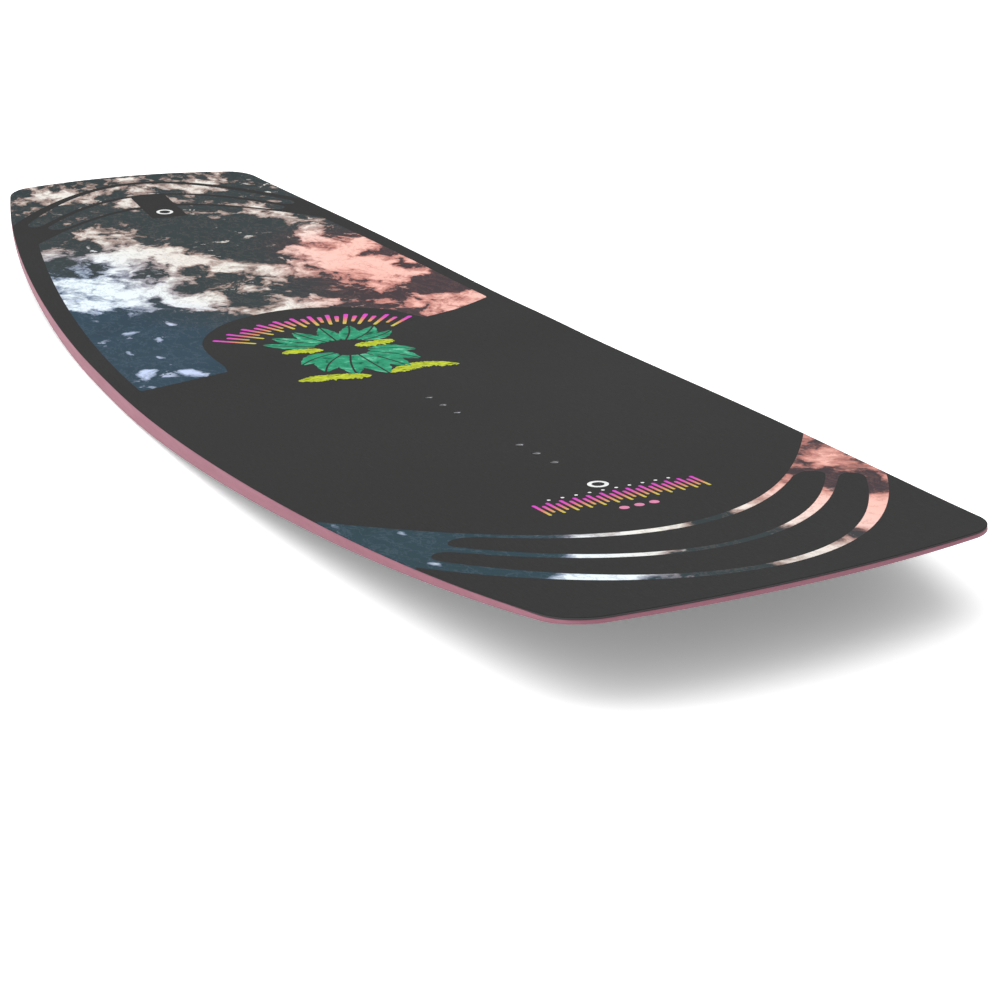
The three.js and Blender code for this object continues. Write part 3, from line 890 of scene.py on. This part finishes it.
def base_material():
    mat = Material("base_sintered")

    def streaks(stretch, scale, detail, rough, turn=0.0):
        vector = mat.mapped(mat.coord, scale=stretch, rot=(0, 0, turn))
        return mat.noise(vector, scale, detail, rough)

    grind = streaks((3.0, 260.0, 1.0), scale=6.0, detail=5.0, rough=0.6)
    broad = streaks((0.6, 26.0, 1.0), scale=5.0, detail=4.0, rough=0.6, turn=0.03)
    cross = streaks((220.0, 8.0, 1.0), scale=4.0, detail=3.0, rough=0.6, turn=0.5)
    slow = mat.noise(mat.coord, scale=4.0, detail=5.0, rough=0.60, dist=0.6)
    scratch = mat.fade(streaks((1.4, 60.0, 1.0), scale=8.0, detail=5.0, rough=0.7, turn=-0.22),
                       lo=0.66, hi=0.73)
    rubbed = mat.fade(streaks((1.0, 30.0, 1.0), scale=7.0, detail=6.0, rough=0.72, turn=0.12),
                      lo=0.62, hi=0.72)
    color = mat.ramp(mat.weighted((grind, 0.42), (slow, 0.30), (broad, 0.28)),
                     (0.36, ink(26, 27, 30)), (0.50, ink(42, 43, 47)), (0.64, ink(62, 63, 68)))
    color = mat.mix(color, ink(104, 106, 110), amount=0.22, mask=rubbed)
    color = mat.mix(color, ink(136, 138, 142), amount=0.45, mask=scratch)
    rough = mat.vary(0.28, mat.add(grind, cross), amount=0.13)
    height = mat.sub(mat.mul(mat.vary(grind, cross, amount=0.5), 0.5), scratch)
    return mat.finish(color, rough, mat.bump(height, strength=0.35, distance=0.00010), spec=0.35)


def wood_material(name, light, dark, seed):
    mat = Material(name)
    grain = mat.mapped(mat.coord, scale=(1.0, 14.0, 9.0), loc=(seed * 0.37, seed * 0.11, 0.0))
    ring = mat.noise(grain, scale=7.0, detail=5.0, rough=0.6, dist=1.2)
    pore = mat.noise(mat.mapped(mat.coord, scale=(6.0, 220.0, 160.0)), scale=5.0, detail=3.0,
                     rough=0.6)
    color = mat.ramp(ring, (0.3, dark), (0.5, light), (0.62, dark), (0.75, light))
    color = mat.mix(color, dark, amount=0.35, mask=mat.fade(pore, lo=0.55, hi=0.75))
    return mat.finish(color, rough=mat.vary(0.6, pore, amount=0.2),
                      normal=mat.bump(mat.add(ring, pore), strength=0.3, distance=0.0002),
                      spec=0.3)


def glass_cloth_material():
    mat = Material("glass_cloth_laminate")
    weave = mat.math("MAXIMUM", mat.wave(mat.coord, scale=210.0, direction="X"),
                     mat.wave(mat.coord, scale=210.0, direction="Y"))
    blot = mat.noise(mat.coord, scale=18.0, detail=4.0, rough=0.6)
    color = mat.ramp(mat.weighted((weave, 0.4), (blot, 0.6)),
                     (0.2, (176, 184, 162)), (0.6, (204, 209, 192)), (0.9, (224, 226, 212)))
    return mat.finish(color, rough=mat.vary(0.35, blot, amount=0.25),
                      normal=mat.bump(weave, strength=0.4, distance=0.0001), spec=0.5)


def steel_material():
    mat = Material("insert_stainless")
    turned = mat.noise(mat.mapped(mat.coord, scale=(1.0, 1.0, 30.0)), scale=300.0, detail=4.0,
                       rough=0.6)
    blot = mat.noise(mat.coord, scale=900.0, detail=3.0)
    color = mat.ramp(mat.weighted((turned, 0.5), (blot, 0.5)),
                     (0.3, (150, 151, 154)), (0.7, (186, 187, 190)))
    return mat.finish(color, rough=mat.vary(0.30, turned, amount=0.2),
                      normal=mat.bump(turned, strength=0.3, distance=0.00005),
                      metallic=1.0, spec=0.5)


# Lumps: centre x, y, radius x, y, turn, strength (pale masses positive, dark ground negative).
MAIN_LUMPS = [
    (-262, 126, 108, 62, -6, 0.36), (-92, 146, 42, 52, 15, 0.34), (-345, 130, 44, 40, 0, 0.20),
    (-322, -14, 112, 30, 32, 0.30), (-246, -136, 84, 50, 22, 0.42), (-195, -66, 48, 34, 0, 0.34),
    (-360, -80, 66, 50, 10, 0.27), (-449, -50, 30, 28, 0, 0.22), (-140, 6, 22, 56, 0, 0.30),
    (-478, 118, 22, 44, -20, 0.26), (-458, -94, 34, 32, 0, 0.14), (-446, 62, 20, 16, 0, 0.16),
    (-262, 40, 26, 34, -30, 0.16), (-415, 36, 92, 62, 0, -0.32), (-50, -126, 128, 76, 0, -0.46),
    (-178, 44, 40, 28, 0, -0.22), (-162, 156, 20, 62, 20, -0.26), (-515, -124, 44, 40, 0, -0.14),
    (-310, 40, 36, 22, 30, -0.18), (-100, 60, 30, 26, 0, -0.2), (-84, -137, 18, 14, 0, 0.62),
    (-38, -150, 15, 10, 0, 0.60), (-10, -149, 13, 10, 0, 0.58), (22, -140, 15, 15, 0, 0.58),
    (10, -172, 20, 12, 0, 0.60), (-118, -160, 16, 12, 0, 0.50), (-136, -120, 13, 9, 0, 0.46),
    (-60, -172, 12, 9, 0, 0.52),
]
TIP_LUMPS = [
    (-610, 66, 30, 34, 0, 0.20), (-612, -104, 32, 46, 0, 0.20), (-560, -30, 40, 26, 0, 0.16),
    (-545, 40, 30, 20, 0, 0.12), (-622, 0, 22, 30, 0, 0.16), (-560, 130, 40, 30, 0, -0.12),
    (-540, -110, 40, 30, 0, -0.10), (-503, -136, 30, 20, 0, -0.40), (-522, -152, 28, 16, 0, -0.40),
    (-503, 134, 24, 18, 0, -0.30), (-522, 150, 24, 16, 0, -0.30),
]
NEAR_LUMPS = [
    (548, -24, 32, 32, 0, 0.54), (572, -68, 26, 30, 0, 0.56), (602, -84, 30, 44, 30, 0.60),
    (642, 28, 18, 40, 0, 0.48), (592, 112, 44, 36, -30, 0.48), (545, 74, 26, 32, 0, 0.40),
    (580, 82, 22, 38, 0, 0.40), (480, 150, 28, 30, 0, 0.22), (440, 172, 26, 16, 0, -0.12),
    (500, -150, 120, 52, 0, -0.56), (560, 20, 24, 26, 0, -0.40), (600, 20, 20, 40, 0, -0.30),
    (640, -30, 18, 22, 0, -0.35), (545, -120, 40, 34, 0, -0.40), (625, 74, 18, 18, 0, -0.24),
    (520, 130, 22, 20, 0, -0.16), (470, -148, 11, 7, 0, 0.72), (536, -155, 11, 6, 54, 0.70),
    (589, -115, 17, 14, 54, 0.34),
]

FIELD = field_material()
CLOUD_MAIN = cloud_material("deck_cloud_print", MAIN_LUMPS, level=-0.10)
CLOUD_TIP = cloud_material("deck_cloud_print_tip", TIP_LUMPS, level=-0.03, seed=1.3,
                           mirrored=True)
CLOUD_NEAR = cloud_material("deck_cloud_print_near", NEAR_LUMPS, level=-0.06, seed=2.9, near=True)
RAW_EDGE = raw_edge_material()
SIDEWALL, BASE, STEEL = sidewall_material(), base_material(), steel_material()
FADE_ARCH = fade_material("ink_fade_arch", lo=0.096, hi=0.129, radial=True)
FADE_ROW = fade_material("ink_fade_row", lo=0.466, hi=0.489)
GREEN = ink_material("ink_green", (0.30, ink(18, 74, 57)), (0.41, ink(42, 136, 102)),
                     (0.56, ink(54, 158, 120)), (0.70, ink(120, 206, 170)),
                     worn_amount=0.25, scale=90.0)
LIME = ink_material("ink_lime", (0.34, ink(66, 72, 28)), (0.43, ink(166, 178, 46)),
                    (0.58, ink(192, 204, 56)), (0.74, ink(218, 228, 104)),
                    worn_amount=0.5, scale=160.0, stretch=(2.2, 1, 1))
PINK = ink_material("ink_pink", (0.3, ink(206, 120, 160)), (0.7, ink(226, 146, 178)),
                    worn_amount=0.25)
WHITE = ink_material("ink_white", (0.3, ink(222, 224, 224)), (0.7, ink(244, 245, 245)),
                     worn_amount=0.2)
GLASS_CLOTH = glass_cloth_material()

REGION_MATERIALS = {  # the quarters of the main cloud take CLOUD_MAIN
    "field": FIELD, "arc_bars": FADE_ARCH, "near_bars": FADE_ROW, "near_discs": PINK,
    "brush_strokes": LIME, "leaves": GREEN, "white_marks": WHITE,
    "cloud_tip": CLOUD_TIP, "cloud_near": CLOUD_NEAR,
}


# ------------------------------------------------------------------ topsheet and its prints
def lap(x):
    """Extra depth of the sheet's edge, growing over the last stretch before each tip."""
    t = np.clip((np.abs(x) - 610.0) / 45.0, 0.0, 1.0)
    return 0.7 * t * t * (3 - 2 * t)


TOP_ROWS = (  # inset, drop below the deck, share of the lap: rounded arris, then cut edge
    (ARRIS, 0.0, 0), (0.32, 0.03, 0), (0.15, 0.11, 0), (0.04, 0.24, 0),
    (0.00, 0.40, 0), (-0.02, 0.60, 1), (1.20, 0.62, 1),
)


def build_topsheet():
    """One object per printed region; the edge goes to the field and the near cloud."""
    plan, triangles = triangulate_deck()
    labels = regions(centroids(plan, triangles))
    rim_verts, rim_faces = strip(
        [edge_row(distance, lambda x, y: deck_z(x, y) - drop - share * lap(x))
         for distance, drop, share in TOP_ROWS], flip=True)
    inside = inset(2.0)
    in_cloud = in_near_cloud(0.5 * (inside + np.roll(inside, -1, axis=0)))
    rim_labels = np.tile(np.where(in_cloud, "cloud_near", "field"), len(TOP_ROWS) - 1)
    verts = np.vstack([np.c_[plan, deck_z(plan[:, 0], plan[:, 1])], rim_verts])
    rim_faces = shifted(rim_faces, len(plan))
    for label in sorted(set(labels) - {"hole"}):
        faces = [tuple(triangle) for triangle in triangles[labels == label]]
        faces += [quad for quad, owner in zip(rim_faces, rim_labels) if owner == label]
        used = sorted({i for face in faces for i in face})
        renumber = {old: new for new, old in enumerate(used)}
        faces = [tuple(renumber[i] for i in face) for face in faces]
        is_field = label == "field"
        obj = new_object("topsheet_field" if is_field else "print_" + label, verts[used], faces,
                         REGION_MATERIALS.get(label, CLOUD_MAIN))
        mount(obj, "topsheet" if is_field else None)


HOLE_ROWS = ((HOLE_LIP, 0.0), (0.05, -0.03), (0.01, -0.09), (0.0, -0.16), (0.0, -0.62))


def build_hole_edges():
    """Raw edges of the drilled holes; HOLE_ROWS are extra radius and height from the deck."""
    verts, faces = [], []
    for x in INSERT_X:
        rings = []
        for extra, dz in HOLE_ROWS:
            p = disc((x, 0.0), HOLE_R + extra, HOLE_SEGMENTS)
            rings.append(np.c_[p, deck_z(p[:, 0], p[:, 1]) + dz])
        ring_verts, ring_faces = strip(rings, flip=True)
        faces += shifted(ring_faces, len(verts))
        verts.extend(ring_verts)
    mount(new_object("drilled_hole_edges", verts, faces, RAW_EDGE))


# ------------------------------------------------------------------ sidewall
def wall_foot(x, y):
    return base_z(x) + FOOT - 0.12


def wall_top(x, y):
    return deck_z(x, y) - SHEET_T - 0.08 - lap(x)


def between(t):
    return lambda x, y: wall_foot(x, y) * (1 - t) + wall_top(x, y) * t


def thinned(offset, x):
    """Offset scaled down where the wall gets thin."""
    return np.minimum(1.0, edge_thickness(x) / 4.5) * offset


def above_foot(rise):
    return lambda x, y: wall_foot(x, y) + thinned(rise, x)


def below_top(drop):
    return lambda x, y: wall_top(x, y) - thinned(drop, x)


SIDE_ROWS = (  # inset, height: in from the foot, up the bulging face, back in along the top
    (12.0, wall_foot), (3.0, wall_foot), (0.55, above_foot(0.02)), (0.10, above_foot(0.12)),
    (-0.22, above_foot(0.34)), (-0.37, above_foot(0.70)), (-0.34, between(0.35)),
    (-0.26, between(0.55)), (-0.16, between(0.75)), (-0.06, below_top(0.85)),
    (0.02, below_top(0.45)), (0.16, below_top(0.20)), (0.40, below_top(0.05)),
    (0.8, wall_top), (6.0, wall_top), (12.0, wall_top),
)


def build_sidewall():
    verts, faces = strip([edge_row(*row) for row in SIDE_ROWS], closed_profile=True)
    wall = new_object("sidewall_ring", verts, faces, SIDEWALL, weld=False)
    mount(wall, "sidewall")


# ------------------------------------------------------------------ base sheet
BASE_ROWS = (  # inset, height above the running surface
    (5.4, 0.0), (4.9, 0.015), (4.5, 0.06), (4.15, 0.15), (3.9, 0.27),
    (1.9, 0.96), (1.62, 1.05), (1.5, 1.12), (3.5, 1.16),
)


def build_base():
    flat_inset = BASE_ROWS[0][0]
    ring = inset(flat_inset)
    plan, triangles = triangulate([(ring, True)], ring, reach=(671, 208), step=(9.0, 14.0),
                                  margin=flat_inset + 4, clearance=4)
    edge_verts, edge_faces = strip([edge_row(distance, lambda x, y: base_z(x) + dz)
                                    for distance, dz in BASE_ROWS])
    verts = np.vstack([np.c_[plan, base_z(plan[:, 0])], edge_verts])
    faces = [tuple(t[::-1]) for t in triangles] + shifted(edge_faces, len(plan))
    mount(new_object("base_running_surface", verts, faces, BASE), "base_sheet")


# ------------------------------------------------------------------ inserts with a cut thread
INSERT_SEGMENTS = 36
POLE_R = 0.001  # closes the bottom and the bore at the axis
THREAD_R, THREAD_DEPTH, THREAD_PITCH, THREAD_ROW = 2.5, 0.42, 1.0, 0.16


def insert_ring(radius, z):
    """radius is a number or a function of the angle."""
    ring = []
    for i in range(INSERT_SEGMENTS):
        angle = 2 * math.pi * i / INSERT_SEGMENTS
        r = radius(angle) if callable(radius) else radius
        ring.append((r * math.cos(angle), r * math.sin(angle), z))
    return ring


def thread_ring(z, fade):
    def radius(angle):
        turn = (z / THREAD_PITCH + angle / (2 * math.pi)) % 1.0
        return THREAD_R + THREAD_DEPTH * fade * abs(2 * turn - 1)
    return insert_ring(radius, z)


def build_insert(name, x):
    floor_z = -float(STACK + edge_thickness(x) + CROWN - (FOOT + 0.5 + GAP) - 0.3)
    rim_z = -(SHEET_T + GAP + 0.1)
    profile = (  # radius, z from the deck: flange, barrel, rim
        (POLE_R, floor_z), (7.6, floor_z), (7.9, floor_z + 0.12), (8.0, floor_z + 0.3),
        (8.0, floor_z + 0.95), (7.85, floor_z + 1.12), (7.6, floor_z + 1.2),
        (5.25, floor_z + 1.2), (5.0, floor_z + 1.45), (5.0, rim_z - 0.2), (4.9, rim_z - 0.05),
        (4.75, rim_z), (3.12, rim_z), (3.0, rim_z - 0.06),
    )
    rings = [insert_ring(*row) for row in profile]
    top, bottom = rim_z - 0.45, floor_z + 2.0
    count = int((top - bottom) / THREAD_ROW)
    for k in range(count + 1):
        z = top + (bottom - top) * k / count
        rings.append(thread_ring(z, fade=min(1.0, (top - z) / 0.4 + 0.25)))
    rings.append(insert_ring(2.4, bottom - 0.05))
    rings.append(insert_ring(POLE_R, bottom - 0.45))
    verts, faces = strip(rings)
    slope = float(deck_z(x + 1, 0.0) - deck_z(x - 1, 0.0)) / 2
    tilt = Matrix.Rotation(-math.atan(slope), 3, "Y")
    placed = np.array([tuple(tilt @ Vector(v)) for v in verts]) + [x, 0.0, float(deck_z(x, 0.0))]
    return new_object(name, placed, faces, STEEL, weld=False)


def build_inserts():
    """Numbered outwards from the middle: a1-a6 towards +X, b1-b6 towards -X."""
    per_end = len(INSERT_X) // 2
    for i, x in enumerate(INSERT_X):
        number = f"a{i - per_end + 1}" if x > 0 else f"b{per_end - i}"
        obj = build_insert("threaded_insert_" + number, x)
        mount(obj, "insert_" + number)


build_topsheet()
build_hole_edges()
build_sidewall()
build_base()
build_inserts()


# ------------------------------------------------------------------ CAD nodes inside the board
def dress_core():
    woods = [wood_material("core_paulownia_pale", (222, 197, 156), (196, 166, 122), seed=1),
             wood_material("core_paulownia_warm", (212, 182, 140), (182, 148, 106), seed=2)]
    stringer = wood_material("core_stringer_dense", (190, 142, 92), (150, 104, 62), seed=3)
    for name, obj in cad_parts.items():
        if name.startswith("core_lath"):
            material = woods[int(name[-1]) % 2]
        elif name == "core_stringer":
            material = stringer
        elif name.endswith("laminate"):
            material = GLASS_CLOTH
        else:
            continue
        obj.data.materials.clear()
        obj.data.materials.append(material)


dress_core()


# ------------------------------------------------------------------ studio
def floor_material():
    """Matte white with a faint glow, brighter to the camera than as a bounce."""
    mat = Material("floor_white", shader="ShaderNodeAddShader")
    tone = mat.ramp(mat.noise(mat.coord, scale=3.0), (0.3, (229, 229, 229)),
                    (0.7, (231, 231, 231)))
    seen = mat.node("ShaderNodeLightPath").outputs["Is Camera Ray"]
    matte = mat.node("ShaderNodeBsdfDiffuse")
    brighter = mat.vary(1.0, seen, amount=0.42)
    mat.put(matte.inputs["Color"], mat.vector_math("SCALE", tone, scale=brighter))
    glow = mat.node("ShaderNodeEmission")
    glow.inputs["Strength"].default_value = 0.19
    mat.put(mat.shader.inputs[0], matte.outputs[0])
    mat.put(mat.shader.inputs[1], glow.outputs[0])
    return mat.material


def build_floor(half=30, drop=0.0004):
    mesh = bpy.data.meshes.new("floor")
    mesh.from_pydata([(-half, -half, 0), (half, -half, 0), (half, half, 0), (-half, half, 0)],
                     [], [(0, 1, 2, 3)])
    floor = bpy.data.objects.new("floor", mesh)
    bpy.context.scene.collection.objects.link(floor)
    floor.location.z = -drop
    mesh.materials.append(floor_material())


def build_world():
    """White to the camera; as a light, stronger from the -X and -Y sides."""
    world = bpy.data.worlds.new("studio")
    bpy.context.scene.world = world
    world.use_nodes = True
    graph = Graph(world.node_tree)
    background = world.node_tree.nodes["Background"]
    background.inputs[0].default_value = (1, 1, 1, 1)
    x, y, _ = graph.xyz(graph.node("ShaderNodeTexCoord").outputs["Generated"])
    middle, least, to_camera = 0.92, 0.25, 1.02  # background strengths
    glow = graph.weighted((x, -0.42), (y, -0.22))
    glow = graph.math("MAXIMUM", graph.add(glow, middle), least)
    seen = graph.node("ShaderNodeLightPath").outputs["Is Camera Ray"]
    strength = graph.weighted((seen, to_camera), (graph.inverse(seen), glow))
    graph.put(background.inputs[1], strength)


def softbox(name, location, size, power):
    """Square area light aimed at the origin."""
    light = bpy.data.lights.new(name, "AREA")
    light.shape, light.size, light.size_y = "RECTANGLE", size, size
    light.energy = power
    obj = bpy.data.objects.new(name, light)
    bpy.context.scene.collection.objects.link(obj)
    obj.location = location
    obj.rotation_mode = "QUATERNION"
    obj.rotation_quaternion = (-Vector(location)).to_track_quat("-Z", "Y")


def build_camera(location, azimuth, elevation, roll, lens):
    """Angles in degrees: azimuth from -Y towards +X, elevation above the floor; lens in mm."""
    azimuth, elevation, roll = map(math.radians, (azimuth, elevation, roll))
    backward = Vector((math.sin(azimuth) * math.cos(elevation),
                       -math.cos(azimuth) * math.cos(elevation), math.sin(elevation)))
    forward = -backward
    level = forward.cross(Vector((0, 0, 1))).normalized()
    upright = level.cross(forward)
    right = math.cos(roll) * level + math.sin(roll) * upright
    up = -math.sin(roll) * level + math.cos(roll) * upright
    data = bpy.data.cameras.new("camera")
    camera = bpy.data.objects.new("camera", data)
    bpy.context.scene.collection.objects.link(camera)
    data.sensor_width = 36.0
    data.lens = lens
    data.clip_start, data.clip_end = 0.05, 200.0
    pose = Matrix((right, up, backward)).transposed().to_4x4()
    pose.translation = location
    camera.matrix_world = pose
    bpy.context.scene.camera = camera


build_floor()
build_world()
softbox("key", location=(-1.6, -2.6, 3.2), size=3.0, power=60.0)
softbox("top", location=(0.2, 0.3, 4.0), size=4.0, power=60.0)
build_camera(location=(1.314225, -0.522368, 0.412183), azimuth=62.589, elevation=21.130,
             roll=0.119, lens=59.3451)
bpy.context.scene.view_settings.view_transform = "Standard"
bpy.context.scene.view_settings.look = "None"
